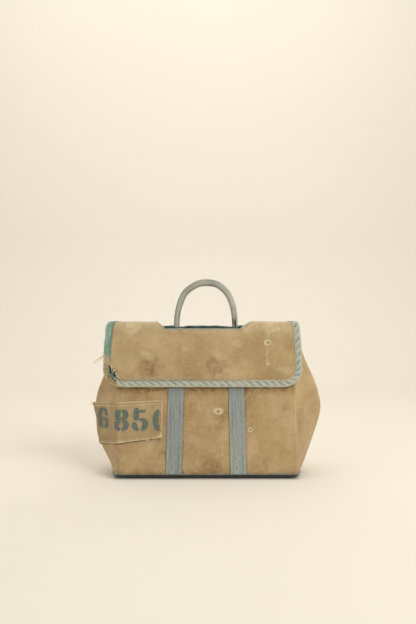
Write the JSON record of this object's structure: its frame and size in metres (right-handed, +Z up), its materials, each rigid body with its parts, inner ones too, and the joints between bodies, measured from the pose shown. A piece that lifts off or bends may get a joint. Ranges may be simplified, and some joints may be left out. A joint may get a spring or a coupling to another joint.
{
  "type": "mail sack satchel",
  "caption": "Small flap-over satchel made from old mail-sack canvas, with side gussets, webbing straps, a looped webbing handle through a slot in the hinged flap, and a number patch.",
  "frame": {"origin": "middle of the base on the surface that the bag stands on", "axes": "+Z up, +X to the right along the bag's width as seen from the front, and the front faces -Y"},
  "size_m": [0.4496, 0.1432, 0.3772],
  "materials": {
    "canvas": "aged tan cotton canvas, plain weave, stained and sun-faded",
    "patch_canvas": "aged tan canvas patch with frayed hems and stencilled figures",
    "strap_webbing": "blue-grey cotton webbing with paler woven edge lines",
    "handle_webbing": "rolled and stitched grey-green webbing",
    "edge_binding": "faded striped cotton binding tape, sea-green where least worn",
    "base_piping": "pale sea-green cotton piping along the base seams",
    "mouth_hem": "dark green cotton hem tape",
    "slot_tape": "pale grey-blue cotton tape folded over the slot's edge",
    "darning_thread": "cream cotton darning thread"
  },
  "bodies": {
    "bag": {"front_panel": "canvas", "rear_panel": "canvas", "left_gusset": "canvas", "right_gusset": "canvas", "base_panel": "canvas", "base_binding_front": "base_piping", "base_binding_rear": "base_piping", "base_binding_left": "base_piping", "base_binding_right": "base_piping", "front_strap_left": "strap_webbing", "front_strap_right": "strap_webbing", "rear_strap_left": "strap_webbing", "rear_strap_right": "strap_webbing", "number_patch": "patch_canvas", "flap_tail": "canvas", "mouth_hem_front": "mouth_hem", "mouth_hem_rear": "mouth_hem", "darn_front_upper": "darning_thread", "darn_front_ring": "darning_thread"},
    "flap_top": {"flap_top_left": "canvas", "flap_top_right": "canvas", "flap_top_binding_left": "edge_binding", "flap_top_binding_right": "edge_binding"},
    "flap_front": {"flap_front_panel": "canvas", "flap_front_binding": "edge_binding", "slot_facing_front": "slot_tape", "darn_flap": "darning_thread"},
    "handle_neck": {"handle_neck_left": "handle_webbing", "handle_neck_right": "handle_webbing"},
    "handle_grip": {"handle_grip": "handle_webbing"}
  },
  "joints": [
    {"name": "flap_hinge", "type": "hinge", "parent": "bag", "child": "flap_top", "pos_m": [0, 0.0229, 0.286], "axis": [-1, 0, 0], "range_deg": [0, 170]},
    {"name": "flap_fold", "type": "hinge", "parent": "flap_top", "child": "flap_front", "pos_m": [0, -0.02549, 0.288], "axis": [-1, 0, 0], "range_deg": [0, 90]},
    {"name": "handle_lean", "type": "hinge", "parent": "bag", "child": "handle_neck", "pos_m": [0, -0.012, 0.298], "axis": [-1, 0, 0], "range_deg": [0, 98.61]},
    {"name": "handle_swing", "type": "hinge", "parent": "handle_neck", "child": "handle_grip", "pos_m": [0, -0.012, 0.31], "axis": [1, 0, 0], "range_deg": [-3, 80]}
  ],
  "couplings": [
    {"joint": "handle_lean", "follows": "flap_hinge", "ratio": 0.58}
  ]
}
